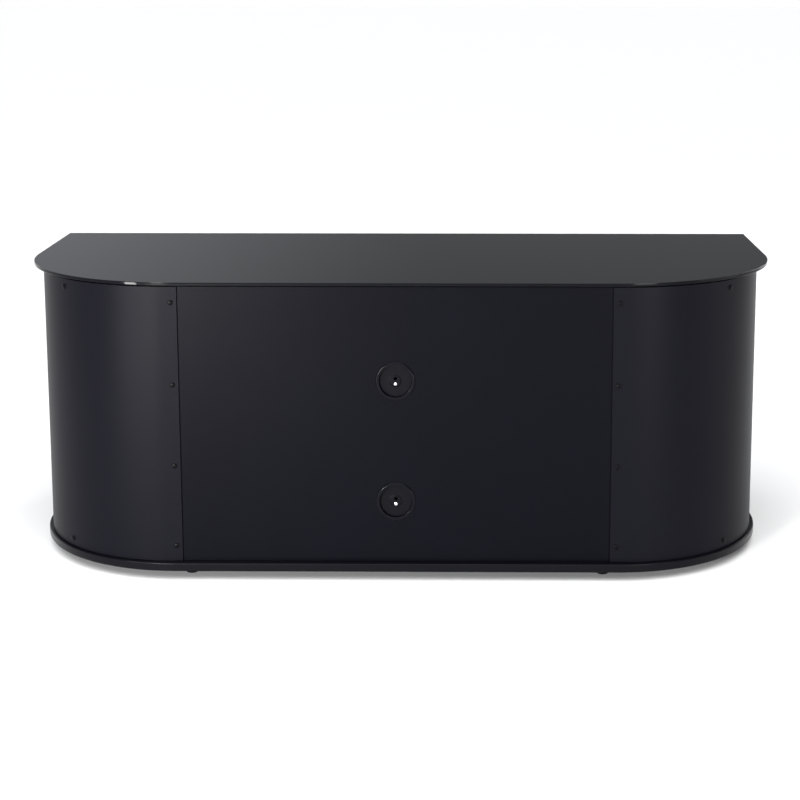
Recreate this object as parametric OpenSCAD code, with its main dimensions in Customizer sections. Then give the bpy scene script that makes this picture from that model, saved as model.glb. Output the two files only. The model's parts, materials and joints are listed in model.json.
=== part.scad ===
// Free-standing media cabinet, millimetres, +Z up.
// The origin is on the floor, midway across the width and midway between the front edge of
// the glass top and the rear edge of the base board. The doors face -Y, the cable side +Y.

/* [Glass top] */
// Width of the glass top
top_w = 1200; // [1100:10:1440]
// Depth of the glass top
top_d = 486; // [400:2:590]
// Radius of its two rear corners
top_r = 262; // [150:2:300]
// Thickness of the glass
glass_t = 5; // [4:0.5:10]
// Thickness of the clear pads that carry the glass
pad_t = 1.5; // [1:0.5:4]
// Radius of each pad
pad_r = 8; // [5:1:12]

/* [Body] */
// Height of the body between the base board and the pads
body_h = 430.5; // [350:0.5:520]
// How far the glass stands past the body at each end
end_over = 23; // [5:1:40]
// How far the glass stands past the body at the rear
rear_over = 1; // [0:1:20]
// How far the glass stands past the door fronts
front_over = 20; // [18:1:40]
// Radius of the two rear corners of the body
body_r = 225; // [150:5:225]
// Thickness of the curved steel shells
shell_t = 1.5; // [0.8:0.1:3]
// Thickness of the floors and roofs
board_t = 25; // [18:1:32]
// Thickness of the two uprights
upright_t = 22; // [16:1:26]
// Distance of each upright's middle from the middle of the cabinet
upright_x = 338.5; // [280:0.5:350]
// Thickness of the back panel
panel_t = 3; // [2:0.5:6]
// How far each shell laps over the upright's middle
seam_lap = 9.5; // [5:0.5:10]
// Side of the square posts in the end bays
post_w = 20; // [16:1:30]

/* [Base] */
// Thickness of the base board
base_t = 13; // [10:1:20]
// How far the base board stands past the body at each end
base_end_out = 8; // [2:1:20]
// How far the base board stands past the glass at the rear
base_rear_out = 10; // [0:1:20]
// How far the base board stands past the door fronts
base_front_out = 8; // [0:1:15]
// Radius of its two rear corners
base_r = 245; // [150:5:300]
// Height of the feet when wound right in
foot_h = 14; // [12:1:30]
// Radius of each foot
foot_r = 9; // [8:1:14]
// Radius of each foot's stud
stud_r = 4; // [3:0.5:5]
// Distance of the rear and front feet from the middle of the cabinet
foot_x = 320; // [250:5:340]
// Distance of the rear feet from the glass's rear edge
foot_rear_in = 30; // [20:1:60]
// Distance of the end feet from the base board's ends
foot_end_in = 45; // [30:1:80]

/* [Shelves] */
// Thickness of the shelves
shelf_t = 16; // [10:1:22]
// Height of the shelves' top face above the floors
shelf_up = 189; // [120:1:240]
// Side and rear clearance of the shelves
shelf_gap = 2; // [1:0.5:4]
// Radius of the shelf pins
pin_r = 2.5; // [2:0.5:4]
// Length of the shelf pins
pin_l = 20; // [16:1:30]

/* [Cable ports] */
// Radius of the port rings
port_r = 30.5; // [24:0.5:36]
// Height of each port's centre above the floor or shelf it serves
port_up = 71; // [50:1:120]
// Radial width of the ring's flange
flange_w = 4; // [3:0.5:8]
// Radius of the screw head in each cap
cap_screw_r = 3; // [2:0.2:3.4]
// Distance of that screw below the cap's middle
cap_screw_drop = 4.5; // [4:0.1:4.6]
// Radius of the finger hole above that screw
cap_hole_r = 2.8; // [2:0.1:3]

/* [Fasteners] */
// Radius of the shell screws' heads
head_r = 4; // [2.5:0.1:5]
// Radius of the shell screws' shanks
shank_r = 1.75; // [1.5:0.05:2.5]
// Length of the shell screws under the head
screw_l = 18; // [14:1:30]
// Distance of the end screws from the uprights' ends
screw_in = 24.5; // [12:0.5:40]
// Angle of the corner screws round the body's corner
corner_turn = 46; // [20:1:80]

/* [Doors] */
// Thickness of the end doors
door_t = 18; // [14:1:22]
// Gap round the end doors and the flap
door_gap = 2; // [1.5:0.5:4]
// Radius of the door pivots
pivot_r = 2.5; // [2:0.5:4]
// Radius of the door knobs
knob_r = 8; // [6:1:12]
// Thickness of the flap's glass
flap_t = 5; // [4:0.5:6]
// Thickness of the flap's rail
rail_t = 13; // [11:0.5:16]
// Height of the flap's rail above its pivot
rail_up = 26; // [20:1:40]
// Width of the flap's handle
handle_w = 180; // [80:5:300]

/* [Hidden] */
$fn = 64;

// Clearances
run = 0.05;        // radial clearance of a pin that turns
fit = 0.05;        // radial clearance of a screw, dowel or insert in its hole
touch = 0.3;       // gap between faces that nearly meet
eps = 1;           // how far a cut runs past the face it opens
weld = 1;          // how far joined shapes of one piece run into each other
tip_gap = 1;       // air past the end of a pin or stud
hinge_trim = 0.5;  // how far the clearance on a hinge side differs from the door gap

// Depths, from the front to the rear
front = -(top_d + base_rear_out) / 2;
top_rear = front + top_d;
base_rear = top_rear + base_rear_out;
shell_rear = top_rear - rear_over;
face = front + front_over;
base_front = face - base_front_out;
inner_rear = shell_rear - shell_t;
panel_front = inner_rear - panel_t;
door_back = face + door_t;

// Widths, from the middle to the ends
half_w = top_w / 2 - end_over;
base_half = half_w + base_end_out;
shell_in = half_w - shell_t;
inner_r = body_r - shell_t;
upright_in = upright_x - upright_t / 2;
upright_out = upright_x + upright_t / 2;
seam_x = upright_x - seam_lap;
arc_x = half_w - body_r;
arc_y = shell_rear - body_r;

// Heights, from the floor up
base_top = foot_h + base_t;
floor_top = base_top + board_t;
body_top = base_top + body_h;
roof_low = body_top - board_t;
glass_low = body_top + pad_t;
shelf_top = floor_top + shelf_up;
shelf_low = shelf_top - shelf_t;
lower_port_z = floor_top + port_up;
upper_port_z = shelf_top + port_up;
shell_lift = 0.5;  // air between the shells and the base board
shell_low = base_top + shell_lift;
groove_w = 2;      // groove in the back panel beside each shell's edge
groove_d = panel_t / 2;

// Ports
panel_hole_r = port_r - flange_w;
barrel_r = panel_hole_r - fit;
barrel_wall = 1.6;
lip_r = 0.8;
barrel_l = 14;
flange_h = 2.4;
cap_gap = 0.15;
cap_r = barrel_r - barrel_wall - cap_gap;
cap_t = 2;
cap_sink = 3.5;
boss_r = 8.5;
cap_hole_up = 3.8;
boss_h = 1.5;
cap_screw_l = 12;
cap_shank_r = 1.5;
dome = 0.6;
bar_t = 3;
bar_w = 8;

// Screws, dowels and inserts
head_h = 2.2;
head_side = 0.45;  // share of the head's height that stands straight
corner_seat = 0.02; // air under the flat heads that sit on the curved corners
hole_r = shank_r + fit;
seam_gaps = 3;     // spaces between the screws of a seam
screw_z = [
  for (i = [0 : seam_gaps]) base_top + screw_in + i * (body_h - 2 * screw_in) / seam_gaps
];
post_screw_in = 30;
post_screw_z = [floor_top + post_screw_in, (floor_top + roof_low) / 2, roof_low - post_screw_in];
dowel_r = 4;
dowel_bite = 20;
dowel_in = 70;
dowel_y = [face + dowel_in, panel_front - dowel_in];
insert_r = 6;
insert_skin = 1;   // board left above the blind end of an insert's hole
insert_l = base_t - insert_skin;
base_screw_r = 2;
base_screw_l = 26;
base_head_r = 4;
base_head_h = 2.5;
base_screw_in = 60;
base_screw_end_in = 40;
shelf_pin_in = 60;
shelf_pin_y = [door_back + shelf_pin_in, panel_front - shelf_pin_in];
shelf_back_in = 20;
pin_bite = 10;

// Pads under the glass
pad_in = 30;
pad_end_in = 40;

// End doors
pivot_x = shell_in - door_gap + hinge_trim - door_t / 2;
pivot_y = face + door_t / 2;
door_low = floor_top + door_gap;
door_high = roof_low - door_gap;
door_in = upright_out + door_gap;
pivot_bite = 14;
pivot_out = 12;
bush_wall = 1.5;
bush_r = pivot_r + run + bush_wall;
bush_flange = 1;
bush_rim = 2;
bush_flange_r = bush_r + bush_rim;
knob_z = (door_low + door_high) / 2;
knob_in = 28;
knob_x = door_in + knob_in;
knob_out = 15;
knob_neck_r = 4;
knob_rim = 6;
knob_bite = 9;
knob_air = 0.5;    // air past the end of the knob's stud
strike_t = 1.5;
strike_w = 24;
strike_h = 14;
strike_in = 14;
strike_x = door_in + strike_in;
magnet_d = 12;
magnet_h = 12;
post_gap = 5;
post_y = door_back + post_gap;

// Flap
flap_y = face + rail_t / 2;
flap_axis_z = floor_top + door_gap + rail_t / 2 + hinge_trim;
flap_half = upright_in - door_gap - hinge_trim;
gasket_t = 1;
slot_w = flap_t + 2 * gasket_t;
slot_low = flap_axis_z + rail_t / 2;
rail_high = flap_axis_z + rail_up;
flap_low = slot_low + gasket_t;
flap_high = roof_low - door_gap;
flap_pin_r = 3;
flap_pin_bite = 20;
flap_pin_out = 12;
flap_bush_r = flap_pin_r + run + bush_wall;
handle_h = 12;
handle_wall = 2;
handle_lip = 13;
flap_strike_out = 20;
flap_strike_x = handle_w / 2 + flap_strike_out;

// Feet
end_foot_in = 120;
front_foot_in = 45;
foot_spots = [
  [foot_x, top_rear - foot_rear_in],
  [base_half - foot_end_in, face + end_foot_in],
  [foot_x, base_front + front_foot_in]
];
stud_l = insert_l - tip_gap;
foot_pad_h = 7;
neck_share = 0.75; // corner radius of the hexagonal neck, as a share of the foot's
neck_air = 0.5;    // air between the neck and the insert
foot_neck_h = foot_h - foot_pad_h - neck_air;

// Facets of the large, middle and small round shapes
shell_fn = 128;
ring_fn = 96;
screw_fn = 32;

black = [0.10, 0.10, 0.12];
black_panel = [0.13, 0.13, 0.16];
black_edge = [0.07, 0.07, 0.08];
grey_glass = [0.30, 0.31, 0.33];
steel = [0.75, 0.75, 0.77];
rubber = [0.05, 0.05, 0.05];
smoke = [0.08, 0.08, 0.09, 0.6];
dowel_wood = [0.80, 0.65, 0.45];

// ---- shapes used more than once ----

// Puts a copy on the left (x below 0) or the right (x above 0)
module on_side(right) {
  if (right) children();
  else mirror([1, 0, 0]) children();
}

module both_sides() {
  children();
  mirror([1, 0, 0]) children();
}

// Flat outline with two rounded rear corners, symmetric about x = 0
module d_outline(half, y0, y1, r) {
  difference() {
    translate([-half, y0]) square([2 * half, y1 - y0]);
    for (s = [-1, 1]) {
      translate([s * (half - r), y1 - r]) difference() {
        translate([s > 0 ? 0 : -r - eps, 0]) square(r + eps);
        circle(r, $fn = shell_fn);
      }
    }
  }
}

// The part of the body's inside outline that lies past x0, taken in by gap
module bay_outline(x0, y0, gap = 0) {
  intersection() {
    d_outline(shell_in - gap, y0, inner_rear - gap, inner_r - gap);
    translate([x0, y0 - eps]) square([half_w, top_d]);
  }
}

// A cylinder along X, from x0, of the given length
module rod_x(x0, y, z, r, l) {
  translate([x0, y, z]) rotate([0, 90, 0]) cylinder(r = r, h = l);
}

// A pan-head screw that points along -Z, with the underside of its head at the origin
module pan_screw() {
  translate([0, 0, -screw_l]) cylinder(r = shank_r, h = screw_l, $fn = screw_fn);
  rotate_extrude($fn = screw_fn) polygon(concat(
    [[0, 0], [head_r, 0], [head_r, head_h * head_side]],
    [for (a = [30 : 15 : 75]) [head_r * cos(a), head_h * (head_side + (1 - head_side) * sin(a))]],
    [[0, head_h]]
  ));
}

// Every shell screw of the right side, as a place for its children
module at_shell_screws() {
  for (z = screw_z) {
    translate([upright_x, shell_rear, z]) rotate([-90, 0, 0]) children();
  }
  for (z = [base_top + board_t / 2, body_top - board_t / 2]) {
    translate([arc_x, arc_y, z]) rotate([0, 0, 90 - corner_turn])
      translate([body_r + corner_seat, 0, 0]) rotate([0, 90, 0]) children();
  }
  for (z = post_screw_z) {
    translate([half_w, post_y + post_w / 2, z]) rotate([0, 90, 0]) children();
  }
}

// The holes that the shell screws need
module shell_screw_holes() {
  at_shell_screws() translate([0, 0, -screw_l - eps])
    cylinder(r = hole_r, h = screw_l + 2 * eps, $fn = screw_fn);
}

// Dowels that cross each upright, on the right side
module at_dowels() {
  for (y = dowel_y) {
    for (z = [base_top + board_t / 2, body_top - board_t / 2]) {
      rod_x(upright_in - dowel_bite, y, z, dowel_r + $grow, upright_t + 2 * dowel_bite + 2 * $grow);
    }
  }
}

// Pins under the right half of the shelves
module at_shelf_pins() {
  for (y = shelf_pin_y) {
    for (x = [upright_in, upright_out]) {
      start = x == upright_in ? x - pin_l + pin_bite : x - pin_bite;
      rod_x(start, y, shelf_low - pin_r, pin_r + $grow, pin_l);
    }
  }
  rod_x(shell_in - post_w - (pin_l - pin_bite), post_y + post_w / 2, shelf_low - pin_r,
    pin_r + $grow, pin_l);
  translate([arc_x, arc_y, shelf_low - pin_r]) rotate([0, 0, 90 - corner_turn])
    rod_x(rear_post_r - post_w - (pin_l - pin_bite), 0, 0, pin_r + $grow, pin_l);
}

// Screws that hold the base board, on the right side
base_screw_spots = [
  [upright_in - base_screw_in, 0],
  [upright_out + base_screw_in, panel_front - base_screw_in],
  [upright_out + base_screw_in, face + base_screw_in],
  [shell_in - base_screw_end_in, 0]
];

// Outer face of the rear posts, measured from the middle of the body's corner
rear_post_r = sqrt(pow(inner_r, 2) - pow(post_w / 2, 2)) - touch;

// ---- top ----

module top_glass() {
  color(grey_glass) translate([0, 0, glass_low])
    linear_extrude(glass_t) d_outline(top_w / 2, front, top_rear, top_r);
}

module glass_pads() {
  spots = [
    [upright_x - pad_in, face + pad_in], [upright_x - pad_in, panel_front - pad_in],
    [0, face + pad_in], [0, panel_front - pad_in],
    [shell_in - pad_end_in, face + pad_in], [shell_in - 2 * pad_in, arc_y]
  ];
  color(rubber) for (p = spots) {
    translate([p[0], p[1], body_top]) cylinder(r = pad_r, h = pad_t);
    if (p[0] > 0) translate([-p[0], p[1], body_top]) cylinder(r = pad_r, h = pad_t);
  }
}

// ---- base ----

module base_board() {
  color(black_edge) difference() {
    translate([0, 0, foot_h]) linear_extrude(base_t)
      d_outline(base_half, base_front, base_rear, base_r);
    both_sides() {
      for (p = foot_spots) {
        translate([p[0], p[1], foot_h - eps]) cylinder(r = insert_r + fit, h = insert_l + eps);
      }
      for (p = base_screw_spots) {
        translate([p[0], p[1], foot_h - eps]) {
          cylinder(r = base_screw_r + fit, h = base_t + 2 * eps, $fn = screw_fn);
          cylinder(r = base_head_r + fit, h = base_head_h + eps, $fn = screw_fn);
        }
      }
    }
  }
}

module foot_inserts() {
  color(steel) both_sides() {
    for (p = foot_spots) {
      translate([p[0], p[1], foot_h]) difference() {
        cylinder(r = insert_r, h = insert_l);
        translate([0, 0, -eps]) cylinder(r = stud_r + run, h = insert_l - touch + eps);
      }
    }
  }
}

module base_screws() {
  color(steel) both_sides() {
    for (p = base_screw_spots) {
      translate([p[0], p[1], foot_h]) {
        cylinder(r = base_screw_r, h = base_screw_l, $fn = screw_fn);
        cylinder(r = base_head_r, h = base_head_h, $fn = screw_fn);
      }
    }
  }
}

// A levelling foot: a round pad, a hexagonal neck for a spanner and a plain stud
module foot(spot) {
  color(black_edge) translate([spot[0], spot[1], 0]) {
    cylinder(r = foot_r, h = foot_pad_h);
    translate([0, 0, foot_pad_h]) cylinder(r = foot_r * neck_share, h = foot_neck_h, $fn = 6);
    translate([0, 0, foot_pad_h + foot_neck_h]) cylinder(r = stud_r, h = stud_l);
  }
}

module left_rear_foot() { on_side(false) foot(foot_spots[0]); }
module right_rear_foot() { on_side(true) foot(foot_spots[0]); }
module left_end_foot() { on_side(false) foot(foot_spots[1]); }
module right_end_foot() { on_side(true) foot(foot_spots[1]); }
module left_front_foot() { on_side(false) foot(foot_spots[2]); }
module right_front_foot() { on_side(true) foot(foot_spots[2]); }

// ---- boards ----

module base_screw_pilots() {
  for (p = base_screw_spots) {
    translate([p[0], p[1], foot_h])
      cylinder(r = base_screw_r + fit, h = base_screw_l + fit, $fn = screw_fn);
  }
}

module upright() {
  color(black) difference() {
    translate([upright_in, face, base_top]) cube([upright_t, panel_front - face, body_h]);
    shell_screw_holes();
    let ($grow = fit) at_dowels();
    let ($grow = fit) at_shelf_pins();
    rod_x(upright_in - eps, flap_y, flap_axis_z, flap_bush_r + fit,
      flap_pin_out + tip_gap + eps);
  }
}

module left_upright() { on_side(false) upright(); }
module right_upright() { on_side(true) upright(); }

// A board between the uprights, with its underside at z0
module centre_board(z0) {
  color(black) difference() {
    translate([-upright_in, face, z0]) cube([2 * upright_in, panel_front - face, board_t]);
    both_sides() {
      let ($grow = fit) at_dowels();
      base_screw_pilots();
    }
  }
}

module centre_floor() { centre_board(base_top); }
module centre_roof() { centre_board(roof_low); }

// A board of an end bay, with its underside at z0 and its pivot bush in face up or down
module end_board(z0, bush_up) {
  color(black) difference() {
    translate([0, 0, z0]) linear_extrude(board_t) bay_outline(upright_out, face);
    let ($grow = fit) at_dowels();
    shell_screw_holes();
    base_screw_pilots();
    translate([pivot_x, pivot_y, bush_up ? z0 + board_t - pivot_out : z0 - eps])
      cylinder(r = bush_r + fit, h = pivot_out + eps);
  }
}

module left_end_floor() { on_side(false) end_board(base_top, true); }
module right_end_floor() { on_side(true) end_board(base_top, true); }
module left_end_roof() { on_side(false) end_board(roof_low, false); }
module right_end_roof() { on_side(true) end_board(roof_low, false); }

module front_post() {
  color(black) difference() {
    translate([shell_in - post_w, post_y, floor_top]) cube([post_w, post_w, roof_low - floor_top]);
    shell_screw_holes();
    let ($grow = fit) at_shelf_pins();
  }
}

module rear_post() {
  color(black) difference() {
    translate([arc_x, arc_y, floor_top]) rotate([0, 0, 90 - corner_turn])
      translate([rear_post_r - post_w, -post_w / 2, 0]) cube([post_w, post_w, roof_low - floor_top]);
    let ($grow = fit) at_shelf_pins();
  }
}

module left_front_post() { on_side(false) front_post(); }
module right_front_post() { on_side(true) front_post(); }
module left_rear_post() { on_side(false) rear_post(); }
module right_rear_post() { on_side(true) rear_post(); }

// ---- shells and back ----

module shell() {
  color(black) difference() {
    translate([0, 0, shell_low]) linear_extrude(body_top - shell_low) difference() {
      d_outline(half_w, face, shell_rear, body_r);
      translate([0, -eps]) d_outline(shell_in, face, inner_rear + eps, inner_r);
      translate([seam_x - top_w, face - eps]) square([top_w, top_d]);
    }
    shell_screw_holes();
  }
}

module left_shell() { on_side(false) shell(); }
module right_shell() { on_side(true) shell(); }

module back_panel() {
  color(black_panel) difference() {
    translate([-upright_out, panel_front, shell_low])
      cube([2 * upright_out, panel_t, body_top - shell_low]);
    both_sides() {
      shell_screw_holes();
      translate([seam_x - groove_w, inner_rear - groove_d, shell_low - eps])
        cube([groove_w, groove_d + eps, body_top - shell_low + 2 * eps]);
    }
    for (z = [lower_port_z, upper_port_z]) {
      translate([0, inner_rear + eps, z]) rotate([90, 0, 0])
        cylinder(r = panel_hole_r, h = panel_t + 2 * eps);
    }
  }
}

module shell_screws() {
  color(steel) both_sides() at_shell_screws() pan_screw();
}

module cross_dowels() {
  color(dowel_wood) both_sides() let ($grow = 0) at_dowels();
}

// ---- shelves ----

module centre_shelf() {
  half = upright_in - shelf_gap;
  shelf_front = door_back + shelf_back_in;
  color(black) translate([-half, shelf_front, shelf_low])
    cube([2 * half, panel_front - shelf_gap - shelf_front, shelf_t]);
}

module end_shelf() {
  color(black) difference() {
    translate([0, 0, shelf_low]) linear_extrude(shelf_t)
      bay_outline(upright_out + shelf_gap, post_y + post_w + shelf_gap, shelf_gap);
    translate([arc_x, arc_y, shelf_low - eps]) rotate([0, 0, 90 - corner_turn])
      translate([rear_post_r - post_w - shelf_gap, -post_w / 2 - shelf_gap, 0])
        cube([body_r, post_w + 2 * shelf_gap, shelf_t + 2 * eps]);
  }
}

module left_end_shelf() { on_side(false) end_shelf(); }
module right_end_shelf() { on_side(true) end_shelf(); }

module shelf_pins() {
  color(steel) both_sides() let ($grow = 0) at_shelf_pins();
}

// ---- cable ports ----

// Puts its children on the back panel at height z, with +Z pointing out of the back
module at_port(z) {
  translate([0, inner_rear, z]) rotate([-90, 0, 0]) children();
}

module port_ring(z) {
  color(black_edge) at_port(z) difference() {
    union() {
      rotate_extrude($fn = ring_fn) polygon(concat(
        [[barrel_r - barrel_wall, -barrel_l], [barrel_r, -barrel_l], [barrel_r, 0]],
        [for (a = [0 : 15 : 90]) [port_r - flange_h * (1 - cos(a)), flange_h * sin(a)]],
        [for (a = [90 : 30 : 180]) [
          barrel_r - barrel_wall + lip_r * (1 + cos(a)), flange_h - lip_r * (1 - sin(a))
        ]]
      ));
      intersection() {
        translate([-barrel_r, cap_screw_drop - bar_w / 2, -barrel_l])
          cube([2 * barrel_r, bar_w, bar_t]);
        translate([0, 0, -barrel_l]) cylinder(r = barrel_r - barrel_wall / 2, h = bar_t, $fn = ring_fn);
      }
    }
    translate([0, cap_screw_drop, -barrel_l - eps])
      cylinder(r = cap_shank_r + fit, h = bar_t + 2 * eps, $fn = screw_fn);
  }
}

module port_cap(z) {
  color(black_edge) at_port(z) difference() {
    union() {
      translate([0, 0, -cap_sink - cap_t]) cylinder(r = cap_r, h = cap_t, $fn = ring_fn);
      translate([0, 0, -cap_sink - weld]) cylinder(r = boss_r, h = boss_h + weld);
    }
    translate([0, cap_screw_drop, -cap_sink - cap_t - eps])
      cylinder(r = cap_shank_r + fit, h = cap_t + boss_h + 2 * eps, $fn = screw_fn);
    translate([0, -cap_hole_up, -cap_sink - cap_t - eps])
      cylinder(r = cap_hole_r, h = cap_t + boss_h + 2 * eps, $fn = screw_fn);
  }
}

module port_screw(z) {
  head_z = -cap_sink + boss_h;
  color(steel) at_port(z) {
    translate([0, cap_screw_drop, head_z - cap_screw_l])
      cylinder(r = cap_shank_r, h = cap_screw_l, $fn = screw_fn);
    translate([0, cap_screw_drop, head_z]) rotate_extrude($fn = screw_fn) polygon(concat(
      [[0, 0]], [for (a = [0 : 10 : 90]) [cap_screw_r * cos(a), cap_screw_r * dome * sin(a)]]
    ));
  }
}

module upper_port_ring() { port_ring(upper_port_z); }
module upper_port_cap() { port_cap(upper_port_z); }
module upper_port_screw() { port_screw(upper_port_z); }
module lower_port_ring() { port_ring(lower_port_z); }
module lower_port_cap() { port_cap(lower_port_z); }
module lower_port_screw() { port_screw(lower_port_z); }

// ---- flap ----

module flap_glass() {
  color(smoke) translate([-flap_half, flap_y - flap_t / 2, flap_low])
    cube([2 * flap_half, flap_t, flap_high - flap_low]);
}

module flap_rail() {
  color(black_edge) difference() {
    union() {
      rod_x(-flap_half, flap_y, flap_axis_z, rail_t / 2, 2 * flap_half);
      translate([-flap_half, flap_y - rail_t / 2, flap_axis_z])
        cube([2 * flap_half, rail_t, rail_high - flap_axis_z]);
    }
    translate([-flap_half - eps, flap_y - slot_w / 2, slot_low])
      cube([2 * flap_half + 2 * eps, slot_w, rail_up]);
    both_sides() rod_x(flap_half - flap_pin_bite, flap_y, flap_axis_z, flap_pin_r + fit,
      flap_pin_bite + eps);
  }
}

module flap_gasket() {
  color(rubber) difference() {
    translate([-flap_half, flap_y - slot_w / 2, slot_low])
      cube([2 * flap_half, slot_w, rail_high - slot_low]);
    translate([-flap_half - eps, flap_y - flap_t / 2, flap_low])
      cube([2 * flap_half + 2 * eps, flap_t, rail_up]);
  }
}

module flap_pins() {
  color(steel) both_sides() rod_x(flap_half - flap_pin_bite, flap_y, flap_axis_z, flap_pin_r,
    flap_pin_bite + upright_in - flap_half + flap_pin_out - tip_gap);
}

module flap_bushes() {
  color(rubber) both_sides() difference() {
    union() {
      rod_x(upright_in, flap_y, flap_axis_z, flap_bush_r, flap_pin_out);
      rod_x(upright_in - bush_flange, flap_y, flap_axis_z, flap_bush_r + bush_wall, bush_flange);
    }
    rod_x(upright_in - bush_flange - eps, flap_y, flap_axis_z, flap_pin_r + run, flap_pin_out + eps);
  }
}

// A folded strip that clips over the glass and turns out into a finger lip
module flap_handle() {
  depth = flap_t + 2 * handle_wall;
  color(steel) translate([-handle_w / 2, 0, 0]) difference() {
    union() {
      translate([0, flap_y - depth / 2, flap_high - handle_h])
        cube([handle_w, depth, handle_h + handle_wall / 2]);
      translate([0, flap_y - flap_t / 2 - handle_lip, flap_high - handle_h])
        cube([handle_w, handle_lip, handle_wall]);
    }
    translate([-eps, flap_y - flap_t / 2, flap_high - handle_h - eps])
      cube([handle_w + 2 * eps, flap_t, handle_h + eps]);
  }
}

module flap_strike() {
  color(steel) both_sides() translate([flap_strike_x, flap_y + flap_t / 2, flap_high - strike_h])
    cube([strike_w, strike_t, strike_h]);
}

module flap_magnet() {
  color(black_edge) both_sides() translate([
    flap_strike_x, flap_y + flap_t / 2 + strike_t + touch, roof_low - magnet_h
  ]) cube([strike_w, magnet_d, magnet_h]);
}

// ---- end doors ----

module door() {
  color(black) difference() {
    union() {
      translate([door_in, face, door_low]) cube([pivot_x - door_in, door_t, door_high - door_low]);
      translate([pivot_x, pivot_y, door_low]) cylinder(r = door_t / 2, h = door_high - door_low);
    }
    for (z = [door_low - eps, door_high - pivot_bite]) {
      translate([pivot_x, pivot_y, z]) cylinder(r = pivot_r + fit, h = pivot_bite + eps);
    }
    translate([knob_x, face - eps, knob_z]) rotate([-90, 0, 0])
      cylinder(r = knob_neck_r / 2 + fit, h = knob_bite + eps);
  }
}

module door_pins() {
  l = pivot_bite + door_gap + pivot_out - tip_gap;
  color(steel) {
    translate([pivot_x, pivot_y, door_low + pivot_bite - l]) cylinder(r = pivot_r, h = l);
    translate([pivot_x, pivot_y, door_high - pivot_bite]) cylinder(r = pivot_r, h = l);
  }
}

module door_bush() {
  difference() {
    union() {
      cylinder(r = bush_r, h = pivot_out);
      translate([0, 0, pivot_out]) cylinder(r = bush_flange_r, h = bush_flange);
    }
    translate([0, 0, -eps]) cylinder(r = pivot_r + run, h = pivot_out + bush_flange + 2 * eps);
  }
}

module door_bushes() {
  color(rubber) both_sides() {
    translate([pivot_x, pivot_y, floor_top - pivot_out]) door_bush();
    translate([pivot_x, pivot_y, roof_low + pivot_out]) mirror([0, 0, 1]) door_bush();
  }
}

// A turned knob on a neck, with a stud into the door
module door_knob() {
  color(steel) translate([knob_x, face, knob_z]) rotate([90, 0, 0]) {
    translate([0, 0, -knob_bite + knob_air]) cylinder(r = knob_neck_r / 2, h = knob_bite);
    cylinder(r = knob_neck_r, h = knob_out - knob_rim);
    rotate_extrude() polygon(concat(
      [[0, knob_out - knob_rim - weld], [knob_neck_r, knob_out - knob_rim - weld]],
      [for (a = [-60 : 15 : 75]) [
        knob_r - knob_rim / 2 + knob_rim / 2 * cos(a), knob_out - knob_rim / 2 + knob_rim / 2 * sin(a)
      ]],
      [[0, knob_out]]
    ));
  }
}

module door_strike() {
  color(steel) translate([strike_x, door_back, door_high - strike_h])
    cube([strike_w, strike_t, strike_h]);
}

module door_magnets() {
  color(black_edge) both_sides()
    translate([strike_x, door_back + strike_t + touch, roof_low - magnet_h])
      cube([strike_w, magnet_d, magnet_h]);
}

module left_door() { on_side(false) door(); }
module right_door() { on_side(true) door(); }
module left_door_pins() { on_side(false) door_pins(); }
module right_door_pins() { on_side(true) door_pins(); }
module left_door_knob() { on_side(false) door_knob(); }
module right_door_knob() { on_side(true) door_knob(); }
module left_door_strike() { on_side(false) door_strike(); }
module right_door_strike() { on_side(true) door_strike(); }

top_glass();
glass_pads();
base_board();
left_upright();
right_upright();
centre_floor();
centre_roof();
left_end_floor();
left_end_roof();
right_end_floor();
right_end_roof();
left_shell();
right_shell();
back_panel();
left_front_post();
right_front_post();
left_rear_post();
right_rear_post();
centre_shelf();
left_end_shelf();
right_end_shelf();
shelf_pins();
shell_screws();
cross_dowels();
base_screws();
foot_inserts();
upper_port_ring();
upper_port_cap();
upper_port_screw();
lower_port_ring();
lower_port_cap();
lower_port_screw();
flap_glass();
flap_rail();
flap_gasket();
flap_pins();
flap_bushes();
flap_handle();
flap_strike();
flap_magnet();
left_door();
right_door();
left_door_pins();
right_door_pins();
door_bushes();
left_door_knob();
right_door_knob();
left_door_strike();
right_door_strike();
door_magnets();
left_rear_foot();
right_rear_foot();
left_end_foot();
right_end_foot();
left_front_foot();
right_front_foot();
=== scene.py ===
import json
import math

import bmesh
import bpy
import numpy as np
from bpy.props import (
    FloatProperty,
    FloatVectorProperty,
    IntProperty,
    PointerProperty,
)
from bpy.types import Operator, Panel, PropertyGroup
from mathutils import Matrix, Vector

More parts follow.
